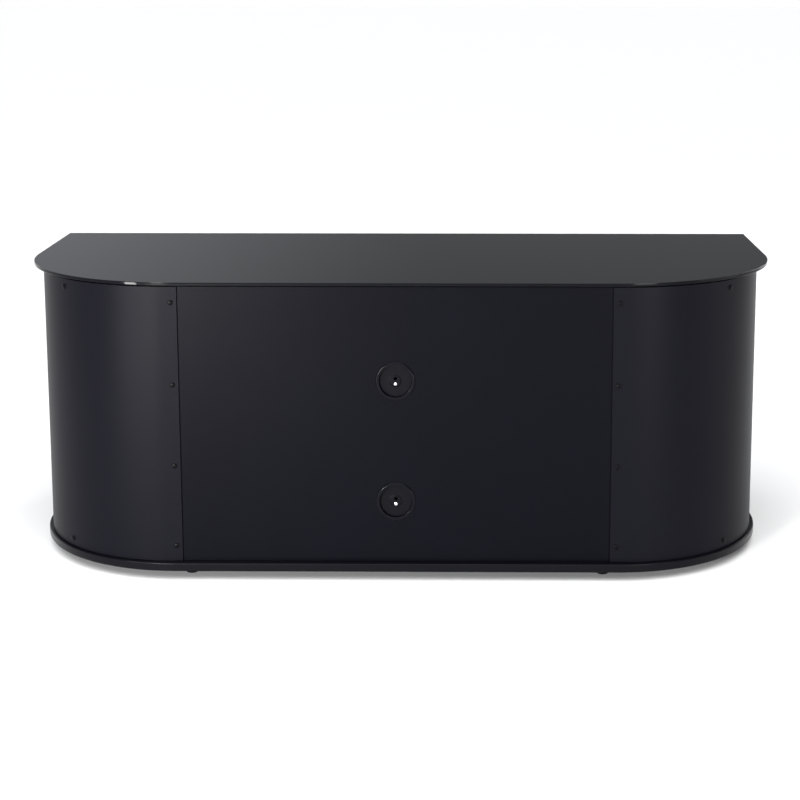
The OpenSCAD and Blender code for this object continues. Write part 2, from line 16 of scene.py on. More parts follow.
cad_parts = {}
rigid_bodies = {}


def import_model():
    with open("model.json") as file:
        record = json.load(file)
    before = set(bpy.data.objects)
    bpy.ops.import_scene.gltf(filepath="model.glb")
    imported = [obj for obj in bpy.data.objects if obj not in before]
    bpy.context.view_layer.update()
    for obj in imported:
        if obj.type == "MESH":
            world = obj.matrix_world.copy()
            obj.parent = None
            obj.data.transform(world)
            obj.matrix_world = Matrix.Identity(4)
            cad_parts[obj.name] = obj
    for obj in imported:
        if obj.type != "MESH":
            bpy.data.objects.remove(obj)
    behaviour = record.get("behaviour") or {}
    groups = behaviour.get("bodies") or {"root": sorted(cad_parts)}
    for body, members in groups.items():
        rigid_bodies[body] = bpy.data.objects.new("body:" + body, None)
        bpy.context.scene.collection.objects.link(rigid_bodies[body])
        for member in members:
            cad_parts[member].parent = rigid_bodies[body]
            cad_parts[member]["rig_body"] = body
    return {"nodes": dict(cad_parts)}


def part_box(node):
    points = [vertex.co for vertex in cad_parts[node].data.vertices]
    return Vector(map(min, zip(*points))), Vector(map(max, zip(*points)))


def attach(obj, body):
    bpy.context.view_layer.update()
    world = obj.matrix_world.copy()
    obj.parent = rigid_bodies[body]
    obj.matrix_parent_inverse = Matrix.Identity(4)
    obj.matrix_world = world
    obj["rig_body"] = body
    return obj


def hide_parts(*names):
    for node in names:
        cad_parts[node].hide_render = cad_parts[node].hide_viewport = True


bl_info = {
    "name": "Media cabinet",
    "version": (1, 0, 0),
    "blender": (4, 5, 0),
    "location": "View3D > Sidebar > Cabinet",
    "description": "Builds the looks of a low media cabinet around its packed frame",
    "category": "Object",
}

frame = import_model()

BODY_OF = {n: o["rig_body"] for n, o in frame["nodes"].items()}
SIDES = (("left", -1), ("right", 1))
FEET = ("left_rear", "right_rear", "left_end", "right_end", "left_front", "right_front")

# ---- small sizes, in metres unless they say otherwise ----

SAME_PLACE = 1e-6  # points closer than this are one
CAD_WELD = 1e-7  # for welding a CAD node's loose triangles
END_BAND = 1e-5  # how near to an end a vertex counts as being on it
EASE_STEPS = 3  # flat steps in an eased edge
SHEET_STEPS = 2
EDGE_ANGLE = 35  # degrees between faces that make an edge worth easing
SHELL_EDGE_ANGLE = 60
SMOOTH_ANGLE = 40
UPRIGHT = 0.99  # least vertical share of an upright edge
SQUARE_ON = 0.9  # least share of a face's normal along an axis that it faces
RIM_SLOPE = 0.1  # the glass top's edge faces have less of their normal upright than this

SHELL_SCREW = {"radius": 0.0040, "height": 0.0022, "length": 0.017, "shank": 0.0017}
SHELL_SCREW_RECESS = (0.0022, 0.00055, 0.0013)  # reach, half width and depth of the cross
SHELL_SCREW_STEPS = 28
SCREW_TWIST = 0.7  # turn from one screw to the next, in radians
DOME_SHARE = 0.55  # share of a pan head's height that is domed
HEAD_EASE = (0.97, 0.9)  # radius and height shares where the head's underside is eased
RECESS_TIP = (0.5, 0.7, 1)  # taper of the recess towards its bottom

RING_BARREL = 0.02645  # radius of the port ring in the panel's hole
RING_WALL = 0.0016
RING_RISE = 0.0024  # height of the rounded flange
RING_LIP = 0.0008  # rounding of the flange's inner lip
BAR_HALF = 0.004  # half height of the bar across the ring
BAR_DEEP = 0.003
BAR_TAPER = 0.985
CAP_BOSS_RISE = 0.0015
CAP_BACK_EASE = 0.0005
CAP_RIM_EASE = 0.0004
CAP_BOSS_FOOT = ((0.0102, 0.0), (0.0095, 0.0001), (0.0090, 0.0004), (0.0086, 0.0009))
CAP_BOSS_TOP = (0.0081, 0.0076)  # radii where the boss's rounding ends
CAP_BOSS_EASE = 0.0001
FINGER_HOLE = 0.0028  # radius
FINGER_HOLE_UP = 0.0038  # above the port's centre
FINGER_HOLE_DEEP = 0.03
FINGER_HOLE_STEPS = 40
BOLT_SHANK = 0.0015
BOLT_RISE = 0.6  # height of the domed head as a share of its radius

DOOR_NOSE_STEPS = 10
DOOR_NOSE_FLAT = 0.0001  # flat left in the middle of a door's rounded side
KNOB_PIN = 0.00195
KNOB_SEAT = 0.0046
KNOB_SEAT_DEEP = 0.0006
KNOB_NECK = 0.0040
KNOB_NECK_FROM = 0.0012
KNOB_NECK_TO = 0.0072  # below the knob's face, as the next ones are
KNOB_FLARE = (0.0044, 0.0062)  # radius and place of the flare's start
KNOB_ROUND = 0.0028
KNOB_ROUND_AT = 0.0030
KNOB_FACE = ((0.0040, 0.0001), (0.0048, 0.0))  # in from the rim, and below the face
KNOB_DISH = 0.0004

FOOT_PAD = 0.0070  # height
FOOT_PAD_FOOT = ((0.0010, 0), (0.0003, 0.0003))  # in from the rim, and height
FOOT_PAD_SIDE = (0.0010, 0.0050)  # heights where the side is straight
FOOT_PAD_TOP = ((0.0004, 0.0062), (0.0014, 0.0069), (0.0026, FOOT_PAD))
FOOT_NECK = 0.0065  # height of the hexagonal neck
FOOT_NECK_AT = 0.01025
FOOT_NECK_SHARE = 0.75  # of the pad's radius
FOOT_NECK_EASE = 0.0003
STUD = 0.004
STUD_FROM = 0.013
STUD_TIP = (0.0008, 0.0032)  # length of the eased tip, and its radius
STUD_STEPS = 24

# ---- surface and stage values ----

FINE_MARKS = 14.0  # scale of the fine marks against the broad ones
FINE_SHARE = 0.4
LEVEL_FACE = 0.6  # least upward slope that gathers dust
DUST_COLOUR = (0.25, 0.24, 0.23, 1)
FLOOR_RADIUS = 40
FLOOR_STEPS = 96
ROOM_COLOUR = (0.93, 0.95, 1.0, 1)
BACKDROP_COLOUR = (1, 1, 1, 1)
BRIGHT_SIDE = (("X", 0.0, 0.30), ("Y", 0.1, -0.5))  # axis, where the rise starts and ends
SKY_GLOW = {"energy": 3.2, "width": 70, "tilt": -25, "height": 3}  # width and tilt in degrees
SOFTBOXES = (  # name, place, aim, width, height, watts
    ("rear_key", (1.30, 3.0, 0.50), (0.35, 0.2, 0.30), 0.4, 0.6, 115.0),
    ("rear_spark", (1.375, 1.466, 0.175), (0.40, 0.23, 0.46), 0.24, 0.12, 8.0),
    ("rear_fill", (-1.5, 2.9, 0.18), (-0.45, 0.2, 0.15), 0.8, 0.3, 22.0),
    ("side_fill", (-2.95, 0.55, 0.45), (-0.5, 0.1, 0.25), 1.8, 1.0, 8.0),
    ("front_key", (-2.2, -2.8, 1.9), (0.0, -0.2, 0.3), 1.2, 1.2, 24.0),
    ("front_fill", (2.6, -3.4, 1.5), (0.2, 0.0, 0.3), 1.4, 1.4, 9.0),
)
SENSOR_WIDTH = 36  # millimetres
CLIP = (0.05, 200)


# ---- what a user would change ----

TINT = {"size": 3, "min": 0.0, "max": 1.0}


class CabinetSizes(PropertyGroup):
    glass_arris: FloatProperty(
        name="Glass arris",
        description="Width of the ground edge round the glass top",
        default=0.0007,
        min=0.0002,
        max=0.002,
        unit="LENGTH",
    )
    board_arris: FloatProperty(
        name="Board arris",
        description="Rounding of the lacquered boards",
        default=0.0010,
        min=0.0002,
        max=0.003,
        unit="LENGTH",
    )
    base_arris: FloatProperty(
        name="Base arris",
        description="Rounding of the base board's rim",
        default=0.0016,
        min=0.0003,
        max=0.004,
        unit="LENGTH",
    )
    sheet_arris: FloatProperty(
        name="Sheet arris",
        description="Rounding of the shells' cut edges",
        default=0.0003,
        min=0.0001,
        max=0.0007,
        unit="LENGTH",
    )
    shell_gauge: FloatProperty(
        name="Shell gauge",
        description="Thickness of the curved steel shells",
        default=0.0015,
        min=0.0008,
        max=0.003,
        unit="LENGTH",
    )
    door_arris: FloatProperty(
        name="Door arris",
        description="Rounding of the doors' edges",
        default=0.0012,
        min=0.0003,
        max=0.003,
        unit="LENGTH",
    )
    curve_steps: IntProperty(
        name="Curve steps",
        description="Flat steps in each quarter turn of a large corner",
        default=56,
        min=12,
        max=96,
    )
    turned_steps: IntProperty(
        name="Turned steps",
        description="Flat steps round each turned or moulded piece",
        default=72,
        min=16,
        max=128,
    )


class CabinetColours(PropertyGroup):
    glass: FloatVectorProperty(
        name="Glass",
        description="Paint behind the glass top",
        default=(0.0030, 0.0030, 0.0046),
        subtype="COLOR",
        **TINT,
    )
    sheet: FloatVectorProperty(
        name="Shells",
        description="Powder coat of the curved shells",
        default=(0.0036, 0.0034, 0.0060),
        subtype="COLOR",
        **TINT,
    )
    back: FloatVectorProperty(
        name="Back panel",
        description="Coating of the back panel",
        default=(0.0016, 0.0015, 0.0036),
        subtype="COLOR",
        **TINT,
    )
    board: FloatVectorProperty(
        name="Boards",
        description="Foil on the floors, roofs, uprights and shelves",
        default=(0.013, 0.013, 0.015),
        subtype="COLOR",
        **TINT,
    )
    base: FloatVectorProperty(
        name="Base board",
        description="Lacquer of the base board",
        default=(0.0020, 0.0019, 0.0036),
        subtype="COLOR",
        **TINT,
    )
    doors: FloatVectorProperty(
        name="Doors",
        description="Lacquer of the end doors",
        default=(0.011, 0.011, 0.013),
        subtype="COLOR",
        **TINT,
    )
    plastic: FloatVectorProperty(
        name="Plastic",
        description="Mouldings: ports, feet, bushes and magnet cases",
        default=(0.0034, 0.0034, 0.0052),
        subtype="COLOR",
        **TINT,
    )
    trim: FloatVectorProperty(
        name="Trim metal",
        description="Anodised rail, handle and knobs",
        default=(0.030, 0.030, 0.033),
        subtype="COLOR",
        **TINT,
    )
    floor: FloatVectorProperty(
        name="Floor",
        description="Plain studio floor",
        default=(0.94, 0.94, 0.94),
        subtype="COLOR",
        **TINT,
    )


class CabinetStage(PropertyGroup):
    lens: FloatProperty(
        name="Lens",
        description="Focal length of the camera in millimetres",
        default=76.5,
        min=20.0,
        max=200.0,
    )
    camera_at: FloatVectorProperty(
        name="Camera",
        description="Where the camera stands",
        default=(-0.107, 2.744, 0.929),
        size=3,
        subtype="XYZ",
        unit="LENGTH",
    )
    camera_aim: FloatVectorProperty(
        name="Aim",
        description="The point that the lens axis passes through",
        default=(-0.0811, 0.238, 0.515),
        size=3,
        subtype="XYZ",
        unit="LENGTH",
    )
    shift: FloatVectorProperty(
        name="Shift",
        description="Lens shift across and up, in picture widths",
        default=(-0.061, -0.188),
        size=2,
    )
    roll: FloatProperty(
        name="Roll",
        description="Turn of the camera about its lens axis",
        default=0.0,
        min=-0.2,
        max=0.2,
        subtype="ANGLE",
        unit="ROTATION",
    )
    surroundings: FloatProperty(
        name="Surroundings",
        description="Brightness that the cabinet sees around it",
        default=0.185,
        min=0.0,
        max=2.0,
    )
    bright_side: FloatProperty(
        name="Bright side",
        description="Extra brightness of the surroundings towards the front right",
        default=0.24,
        min=0.0,
        max=2.0,
    )
    backdrop: FloatProperty(
        name="Backdrop",
        description="Brightness behind the cabinet",
        default=1.0,
        min=0.0,
        max=2.0,
    )


# ---- shader node groups ----


def new_group(name, sockets_in, sockets_out):
    """A shader node group with float inputs (name, default) and outputs (name, socket type)."""
    group = bpy.data.node_groups.new(name, "ShaderNodeTree")
    for label, default in sockets_in:
        socket = group.interface.new_socket(
            name=label, in_out="INPUT", socket_type="NodeSocketFloat"
        )
        socket.default_value = default
    for label, kind in sockets_out:
        group.interface.new_socket(name=label, in_out="OUTPUT", socket_type=kind)
    tree = group.nodes
    return group, tree, group.links, tree.new("NodeGroupInput"), tree.new("NodeGroupOutput")


def maths(tree, links, a, b, operation="ADD", clamp=False):
    """A math node on two sockets or numbers; gives its output socket."""
    math_node = tree.new("ShaderNodeMath")
    math_node.operation = operation
    math_node.use_clamp = clamp
    for index, value in enumerate((a, b)):
        if isinstance(value, (int, float)):
            math_node.inputs[index].default_value = value
        else:
            links.new(value, math_node.inputs[index])
    return math_node.outputs[0]


def noise_of(tree, links, coordinates, scale, detail=3.0, roughness=0.55):
    """A noise pattern centred on zero; gives its output socket."""
    noise = tree.new("ShaderNodeTexNoise")
    noise.inputs["Detail"].default_value = detail
    noise.inputs["Roughness"].default_value = roughness
    links.new(coordinates, noise.inputs["Vector"])
    if isinstance(scale, (int, float)):
        noise.inputs["Scale"].default_value = scale
    else:
        links.new(scale, noise.inputs["Scale"])
    return maths(tree, links, noise.outputs["Fac"], 0.5, "SUBTRACT")


def handling_group():
    """Uneven sheen from wiping and handling: a roughness, and a mask of where it is dullest."""
    group, tree, links, entry, out = new_group(
        "Handling marks",
        (("Roughness", 0.4), ("Unevenness", 0.1), ("Scale", 6.0)),
        (("Roughness", "NodeSocketFloat"), ("Mask", "NodeSocketFloat")),
    )
    place = tree.new("ShaderNodeTexCoord")
    broad = noise_of(tree, links, place.outputs["Object"], entry.outputs["Scale"])
    fine_scale = maths(tree, links, entry.outputs["Scale"], FINE_MARKS, "MULTIPLY")
    fine = noise_of(tree, links, place.outputs["Object"], fine_scale, 2.0)
    fine_share = maths(tree, links, fine, FINE_SHARE, "MULTIPLY")
    mixed = maths(tree, links, broad, fine_share)
    uneven = maths(tree, links, mixed, entry.outputs["Unevenness"], "MULTIPLY")
    rough = maths(tree, links, entry.outputs["Roughness"], uneven, clamp=True)
    mask = maths(tree, links, mixed, 0.5, clamp=True)
    links.new(rough, out.inputs["Roughness"])
    links.new(mask, out.inputs["Mask"])
    return group


def grain_group():
    """Height of a fine pebbled or drawn surface; Stretch above 1 draws it out along X."""
    group, tree, links, entry, out = new_group(
        "Surface grain",
        (("Scale", 400.0), ("Stretch", 1.0)),
        (("Height", "NodeSocketFloat"),),
    )
    place = tree.new("ShaderNodeTexCoord")
    split = tree.new("ShaderNodeSeparateXYZ")
    join = tree.new("ShaderNodeCombineXYZ")
    links.new(place.outputs["Object"], split.inputs[0])
    drawn = maths(tree, links, split.outputs["X"], entry.outputs["Stretch"], "DIVIDE")
    links.new(drawn, join.inputs["X"])
    links.new(split.outputs["Y"], join.inputs["Y"])
    links.new(split.outputs["Z"], join.inputs["Z"])
    pebble = noise_of(tree, links, join.outputs[0], entry.outputs["Scale"], 2.0, 0.5)
    links.new(pebble, out.inputs["Height"])
    return group


def dust_group():
    """A thin veil of dust on faces that look up."""
    group, tree, links, entry, out = new_group(
        "Settled dust",
        (("Amount", 0.1), ("Scale", 60.0)),
        (("Mask", "NodeSocketFloat"),),
    )
    place = tree.new("ShaderNodeTexCoord")
    shape = tree.new("ShaderNodeNewGeometry")
    split = tree.new("ShaderNodeSeparateXYZ")
    links.new(shape.outputs["Normal"], split.inputs[0])
    upward = maths(tree, links, split.outputs["Z"], LEVEL_FACE, "SUBTRACT", clamp=True)
    speckle = noise_of(tree, links, place.outputs["Object"], entry.outputs["Scale"], 5.0, 0.7)
    patchy = maths(tree, links, speckle, 0.5, clamp=True)
    veil = maths(tree, links, upward, patchy, "MULTIPLY")
    amount = maths(tree, links, veil, entry.outputs["Amount"], "MULTIPLY", clamp=True)
    links.new(amount, out.inputs["Mask"])
    return group


GROUPS = {}
FINISHES = {}


def group_node(tree, name, values):
    """Places a shared group in a material with its own values."""
    builders = {"handling": handling_group, "grain": grain_group, "dust": dust_group}
    if name not in GROUPS:
        GROUPS[name] = builders[name]()
    node = tree.new("ShaderNodeGroup")
    node.node_tree = GROUPS[name]
    for label, value in values.items():
        node.inputs[label].default_value = value
    return node


def finish(
    name,
    colour,
    roughness,
    uneven=0.08,
    patch=6.0,
    grain=400.0,
    stretch=1.0,
    depth=0.00002,
    dust=0.05,
    tone=0.12,
    **shader,
):
    """A procedural material: shaded base colour, uneven sheen, surface grain and a little dust.

    Patch and grain are pattern scales, stretch draws the grain out along X, depth is its height
    and tone the share by which the base colour varies. The rest are the shader's own sockets.
    """
    if name in FINISHES:
        return FINISHES[name]
    material = bpy.data.materials.new(name)
    material.use_nodes = True
    tree = material.node_tree.nodes
    links = material.node_tree.links
    surface = tree["Principled BSDF"]
    for label, value in shader.items():
        surface.inputs[label.replace("_", " ").title().replace("Ior", "IOR")].default_value = value
    sheen = {"Roughness": roughness, "Unevenness": uneven, "Scale": patch}
    marks = group_node(tree, "handling", sheen)
    pebble = group_node(tree, "grain", {"Scale": grain, "Stretch": stretch})
    veil = group_node(tree, "dust", {"Amount": dust})
    links.new(marks.outputs["Roughness"], surface.inputs["Roughness"])

    shades = tree.new("ShaderNodeMix")
    shades.data_type = "RGBA"
    shades.inputs["A"].default_value = (*[c * (1 - tone) for c in colour], 1)
    shades.inputs["B"].default_value = (*[min(1, c * (1 + tone)) for c in colour], 1)
    links.new(marks.outputs["Mask"], shades.inputs["Factor"])
    dusty = tree.new("ShaderNodeMix")
    dusty.data_type = "RGBA"
    dusty.inputs["B"].default_value = DUST_COLOUR
    links.new(veil.outputs["Mask"], dusty.inputs["Factor"])
    links.new(shades.outputs["Result"], dusty.inputs["A"])
    links.new(dusty.outputs["Result"], surface.inputs["Base Color"])

    bump = tree.new("ShaderNodeBump")
    bump.inputs["Strength"].default_value = 1.0
    bump.inputs["Distance"].default_value = depth
    links.new(pebble.outputs["Height"], bump.inputs["Height"])
    links.new(bump.outputs["Normal"], surface.inputs["Normal"])
    FINISHES[name] = material
    return material


# A colour is a name in CabinetColours, or the colour itself where a user would not change it.
RECIPES = {
    "black_glass": dict(
        colour="glass", roughness=0.09, uneven=0.03, patch=5.0, grain=60.0, depth=0.000001,
        dust=0.01, specular_ior_level=0.21,
    ),
    "glass_edge": dict(
        colour="glass", roughness=0.07, uneven=0.02, patch=5.0, grain=60.0, depth=0.000001,
        dust=0.0, specular_ior_level=0.07,
    ),
    "base_black": dict(
        colour="base", roughness=0.25, uneven=0.05, patch=9.0, grain=700.0, depth=0.00001,
        dust=0.03, specular_ior_level=0.11,
    ),
    "black_board": dict(
        colour="board", roughness=0.44, uneven=0.08, patch=8.0, grain=900.0, depth=0.00002,
        dust=0.04, specular_ior_level=0.3,
    ),
    "black_sheet": dict(
        colour="sheet", roughness=0.4, uneven=0.04, patch=4.0, grain=1500.0, depth=0.000006,
        dust=0.0, specular_ior_level=0.06,
    ),
    "back_board": dict(
        colour="back", roughness=0.33, uneven=0.04, patch=5.0, grain=190.0, depth=0.00004,
        dust=0.0, tone=0.2, specular_ior_level=0.06,
    ),
    "door_black": dict(
        colour="doors", roughness=0.36, uneven=0.06, patch=5.0, grain=600.0, depth=0.000008,
        dust=0.0, specular_ior_level=0.22,
    ),
    "black_plastic": dict(
        colour="plastic", roughness=0.36, uneven=0.08, patch=30.0, grain=2200.0, depth=0.00001,
        dust=0.0, specular_ior_level=0.06,
    ),
    "ring_black": dict(
        colour="plastic", roughness=0.18, uneven=0.04, patch=30.0, grain=2200.0, depth=0.000003,
        dust=0.0, specular_ior_level=0.07,
    ),
    "screw_black": dict(
        colour=(0.0025, 0.0025, 0.0032), roughness=0.3, uneven=0.08, patch=60.0, grain=1500.0,
        dust=0.0, specular_ior_level=0.07,
    ),
    "screw_chrome": dict(
        colour=(0.8, 0.8, 0.82), roughness=0.1, uneven=0.05, patch=60.0, grain=900.0,
        depth=0.000003, metallic=1.0, dust=0.0, tone=0.03,
    ),
    "steel": dict(
        colour=(0.5, 0.5, 0.51), roughness=0.28, uneven=0.12, patch=40.0, grain=900.0,
        stretch=12.0, depth=0.00001, metallic=1.0, dust=0.0,
    ),
    "dowel_wood": dict(
        colour=(0.56, 0.4, 0.23), roughness=0.6, uneven=0.1, patch=30.0, grain=700.0,
        stretch=14.0, depth=0.00005, tone=0.3,
    ),
    "clear_pad": dict(
        colour=(0.05, 0.05, 0.05), roughness=0.5, uneven=0.08, patch=30.0, grain=900.0,
        dust=0.0,
    ),
    "gasket_rubber": dict(
        colour=(0.012, 0.012, 0.012), roughness=0.62, uneven=0.1, patch=30.0, grain=1500.0,
    ),
    "rail_metal": dict(
        colour="trim", roughness=0.3, uneven=0.1, patch=20.0, grain=1200.0, stretch=30.0,
        depth=0.000012, metallic=1.0, dust=0.0,
    ),
    "smoked_glass": dict(
        colour=(0.012, 0.012, 0.014), roughness=0.05, uneven=0.03, patch=8.0, grain=60.0,
        depth=0.000001, dust=0.0, tone=0.03, alpha=0.88,
    ),
}


def shade(name, colours):
    """The finish of that name, made on first use."""
    recipe = dict(RECIPES[name])
    colour = recipe.pop("colour")
    if isinstance(colour, str):
        colour = getattr(colours, colour)
    return finish(name, colour, **recipe)


# ---- shaping ----


def block(low, high):
    """A new bmesh that holds one plain block between two corners."""
    shape = bmesh.new()
    bmesh.ops.create_cube(shape, size=1.0)
    size = Vector(high) - Vector(low)
    bmesh.ops.scale(shape, vec=size, verts=shape.verts)
    bmesh.ops.translate(shape, vec=(Vector(low) + Vector(high)) / 2, verts=shape.verts)
    return shape


def round_edges(shape, edges, radius, steps):
    bmesh.ops.bevel(
        shape,
        geom=list(edges),
        offset=radius,
        offset_type="OFFSET",
        affect="EDGES",
        segments=steps,
        profile=0.5,
        material=-1,
        clamp_overlap=False,
    )


def sharp_edges(shape, degrees=EDGE_ANGLE):
    limit = math.radians(degrees)
    return [e for e in shape.edges if len(e.link_faces) == 2 and e.calc_face_angle() > limit]


def upright_edges(shape, test):
    """The vertical edges whose middle passes the test."""
    found = []
    for edge in shape.edges:
        a, b = (v.co for v in edge.verts)
        if (a - b).length > 0 and abs((a - b).normalized().z) > UPRIGHT and test((a + b) / 2):
            found.append(edge)
    return found


def at_corner(x, y):
    """A test for upright_edges: is a point over this corner?"""
    return lambda p: abs(p.x - x) < SAME_PLACE and abs(p.y - y) < SAME_PLACE


def corner_radius(node, side):
    """Radius of a CAD node's rear corner on one side, read from the frame."""
    low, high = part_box(node)
    vertices = frame["nodes"][node].data.vertices
    rear = [v.co.x * side for v in vertices if v.co.y > high.y - END_BAND]
    outer = high.x if side > 0 else -low.x
    return outer - max(rear)


def rounded_board(node, arris, steps, sides=(-1, 1), round_corners=True):
    """A board with the box of its CAD node, its rear corners rounded and its rims eased."""
    low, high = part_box(node)
    shape = block(low, high)
    if round_corners:
        for side in sides:
            edge_x = high.x if side > 0 else low.x
            corner = upright_edges(shape, at_corner(edge_x, high.y))
            round_edges(shape, corner, corner_radius(node, side), steps)
    round_edges(shape, sharp_edges(shape), arris, EASE_STEPS)
    return shape


def turned(profile, steps, centre=(0, 0, 0), axis="Z"):
    """Spins a profile of (radius, height) points about the axis, Z or -Y, through centre."""
    shape = bmesh.new()
    points = [shape.verts.new((r, 0, z)) for r, z in profile]
    lines = [shape.edges.new(pair) for pair in zip(points, points[1:])]
    bmesh.ops.spin(
        shape,
        geom=points + lines,
        cent=(0, 0, 0),
        axis=(0, 0, 1),
        angle=math.tau,
        steps=steps,
        use_merge=True,
        use_duplicate=False,
    )
    bmesh.ops.remove_doubles(shape, verts=shape.verts, dist=SAME_PLACE)
    turns = {
        "Z": Matrix.Identity(3),
        "-Y": Matrix.Rotation(math.pi / 2, 3, "X"),
    }
    bmesh.ops.transform(shape, matrix=turns[axis].to_4x4(), verts=shape.verts)
    bmesh.ops.translate(shape, vec=Vector(centre), verts=shape.verts)
    return shape


def turned_on_back(profile, steps, centre):
    """Spins a profile of (radius, place along Y) points about a line along Y through centre."""
    shape = turned(profile, steps, centre, "-Y")
    bmesh.ops.scale(shape, vec=(1, -1, 1), verts=shape.verts)
    return shape


def arc(start, end, step):
    """Angles in radians from one to the other of two in degrees."""
    return np.radians(range(start, end, step))


def joined(*shapes):
    """One bmesh that holds every given one."""
    whole = bmesh.new()
    for shape in shapes:
        scratch = bpy.data.meshes.new("scratch")
        bmesh.ops.recalc_face_normals(shape, faces=shape.faces)
        shape.to_mesh(scratch)
        shape.free()
        whole.from_mesh(scratch)
        bpy.data.meshes.remove(scratch)
    return whole


def add_piece(shape, name, nodes, material, flat=True):
    """An object of a bmesh that stands for CAD nodes, on their body and with the given material.
    """
    bmesh.ops.recalc_face_normals(shape, faces=shape.faces)
    mesh = bpy.data.meshes.new(name)
    shape.to_mesh(mesh)
    shape.free()
    mesh.polygons.foreach_set("use_smooth", [True] * len(mesh.polygons))
    mesh.set_sharp_from_angle(angle=math.radians(SMOOTH_ANGLE))
    piece = bpy.data.objects.new(name, mesh)
    bpy.context.scene.collection.objects.link(piece)
    mesh.materials.append(material)
    if flat:
        even = piece.modifiers.new("Even shading", "WEIGHTED_NORMAL")
        even.keep_sharp = True
        even.weight = 90
    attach(piece, BODY_OF[nodes[0]])
    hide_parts(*nodes)
    return piece


def carry_over(nodes, material):
    """Gives CAD nodes that are shown as they are their finish."""
    for node in nodes:
        mesh = frame["nodes"][node].data
        if mesh.materials:
            for index in range(len(mesh.materials)):
                mesh.materials[index] = material
        else:
            mesh.materials.append(material)


def islands(node):
    """The vertices of each separate solid of a CAD node, as arrays in order of place."""
    source = frame["nodes"][node].data
    copy = bmesh.new()
    copy.from_mesh(source)
    bmesh.ops.remove_doubles(copy, verts=copy.verts, dist=CAD_WELD)
    waiting = set(copy.verts)
    groups = []
    while waiting:
        reached = [waiting.pop()]
        group = []
        while reached:
            vert = reached.pop()
            group.append(vert.co[:])
            for edge in vert.link_edges:
                other = edge.other_vert(vert)
                if other in waiting:
                    waiting.remove(other)
                    reached.append(other)
        groups.append(np.array(sorted(group)))
    copy.free()
    return sorted(groups, key=lambda points: tuple(points.mean(0).round(4)))


def screw_places(node):
    """For each screw of a CAD node: its head's crown and the way that its head faces."""
    places = []
    for points in islands(node):
        middle = points.mean(0)
        axis = np.linalg.svd(points - middle, full_matrices=False)[2][0]
        along = (points - middle) @ axis
        off = np.linalg.norm((points - middle) - np.outer(along, axis), axis=1)
        if along[off.argmax()] < 0:
            axis, along = -axis, -along
        shank = points[along < along.min() + END_BAND]
        centre = (shank.min(0) + shank.max(0)) / 2
        crown = centre + axis * (along.max() - along.min())
        places.append((Vector(crown), Vector(axis)))
    return places


def loose_object(shape, name):
    """A plain object of a bmesh, for cutting with."""
    mesh = bpy.data.meshes.new(name)
    bmesh.ops.recalc_face_normals(shape, faces=shape.faces)
    shape.to_mesh(mesh)
    shape.free()
    thing = bpy.data.objects.new(name, mesh)
    bpy.context.scene.collection.objects.link(thing)
    return thing


def bored(shape, *tools):
    """The shape with each tool's shape cut out of it, as a bmesh."""
    blank = loose_object(shape, "blank")
    cutters = [loose_object(tool, "cutter") for tool in tools]
    for cutter in cutters:
        cut = blank.modifiers.new("Cut", "BOOLEAN")
        cut.operation = "DIFFERENCE"
        cut.solver = "EXACT"
        cut.object = cutter
    bpy.context.view_layer.update()
    graph = bpy.context.evaluated_depsgraph_get()
    finished = bpy.data.meshes.new_from_object(blank.evaluated_get(graph))
    result = bmesh.new()
    result.from_mesh(finished)
    bpy.data.meshes.remove(finished)
    for thing in [blank] + cutters:
        mesh = thing.data
        bpy.data.objects.remove(thing)
        bpy.data.meshes.remove(mesh)
    return result


def screw_shape(radius, height, length, shank, recess, steps):
    """A screw whose crown is at the origin and faces +Z, with a cross recess."""
    domed = height * DOME_SHARE
    dome = [(radius * math.cos(a), -domed * (1 - math.sin(a))) for a in arc(0, 90, 15)]
    eased_radius, eased_height = HEAD_EASE
    stem = [
        (0, -length - height),
        (shank, -length - height),
        (shank, -height),
        (radius * eased_radius, -height),
        (radius, -height * eased_height),
    ]
    body = turned(stem + dome + [(0, 0)], steps)
    reach, width, depth = recess
    bars = []
    for turn in (0, math.pi / 2):
        bar = block((-reach, -width, -depth), (reach, width, depth))
        tip = [v for v in bar.verts if v.co.z < 0]
        bmesh.ops.scale(bar, vec=RECESS_TIP, verts=tip)
        way = Matrix.Rotation(turn, 3, "Z")
        bmesh.ops.rotate(bar, cent=(0, 0, 0), matrix=way, verts=bar.verts)
        bars.append(bar)
    return bored(body, *bars)


def set_screws(places, screw):
    """One bmesh with a copy of the screw at each place, each turned a little differently."""
    mesh = bpy.data.meshes.new("screw")
    screw.to_mesh(mesh)
    screw.free()
    whole = bmesh.new()
    for number, (crown, way) in enumerate(places):
        before = set(whole.verts)
        whole.from_mesh(mesh)
        added = [v for v in whole.verts if v not in before]
        spin = Matrix.Rotation(number * SCREW_TWIST, 4, "Z")
        tilt = way.to_track_quat("Z", "Y").to_matrix().to_4x4()
        place = Matrix.Translation(crown) @ tilt @ spin
        bmesh.ops.transform(whole, matrix=place, verts=added)
    bpy.data.meshes.remove(mesh)
    return whole


# ---- pieces ----


def settings(context):
    """The cabinet's sizes and colours."""
    return context.scene.cabinet_sizes, context.scene.cabinet_colours


class CABINET_OT_glass_top(Operator):
    """Glass top with ground edges, on its clear pads"""

    bl_idname = "cabinet.glass_top"
    bl_label = "Glass top"

    def execute(self, context):
        sizes, colours = settings(context)
        top = rounded_board("top_glass", sizes.glass_arris, sizes.curve_steps)
        for face in top.faces:
            face.material_index = int(abs(face.normal.z) < RIM_SLOPE)
        pane = add_piece(top, "ground_glass_top", ["top_glass"], shade("black_glass", colours))
        pane.data.materials.append(shade("glass_edge", colours))
        carry_over(["glass_pads"], shade("clear_pad", colours))
        return {"FINISHED"}


